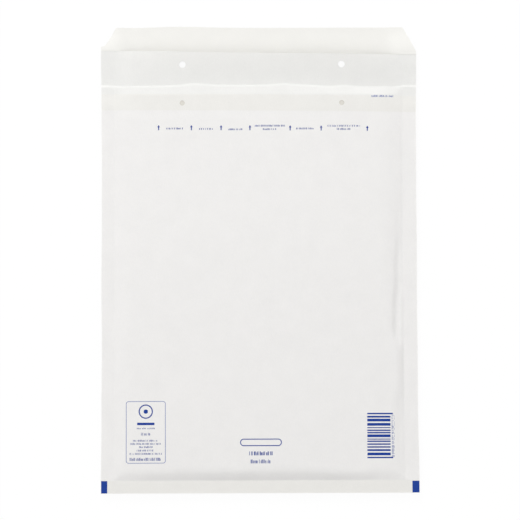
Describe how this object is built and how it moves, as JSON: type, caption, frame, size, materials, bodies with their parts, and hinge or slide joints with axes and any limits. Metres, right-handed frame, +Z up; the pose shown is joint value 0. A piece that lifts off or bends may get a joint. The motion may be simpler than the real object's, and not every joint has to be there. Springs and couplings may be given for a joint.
{
  "type": "padded envelope",
  "caption": "Padded mailing envelope of white kraft paper lined with bubble film, open at one end, with a sealing lip under a release strip.",
  "frame": {"origin": "on the table under the middle of the open envelope, lying on its back sheet", "axes": "+Y from the bottom seam to the lip, +Z up out of the printed front, +X to the right"},
  "size_m": [0.25, 0.37, 0.011],
  "materials": {
    "white_kraft": "matt machine-glazed kraft paper, printed in blue",
    "bubble_film": "clear glossy polyethylene bubble film with a faint blue tint",
    "adhesive": "pale transfer adhesive",
    "release_paper": "smooth siliconised white paper"
  },
  "bodies": {
    "root": {"front_sheet": "white_kraft", "back_sheet": "white_kraft", "front_lining": "bubble_film", "back_lining": "bubble_film", "lip_adhesive": "adhesive", "release_strip": "release_paper"}
  },
  "joints": []
}
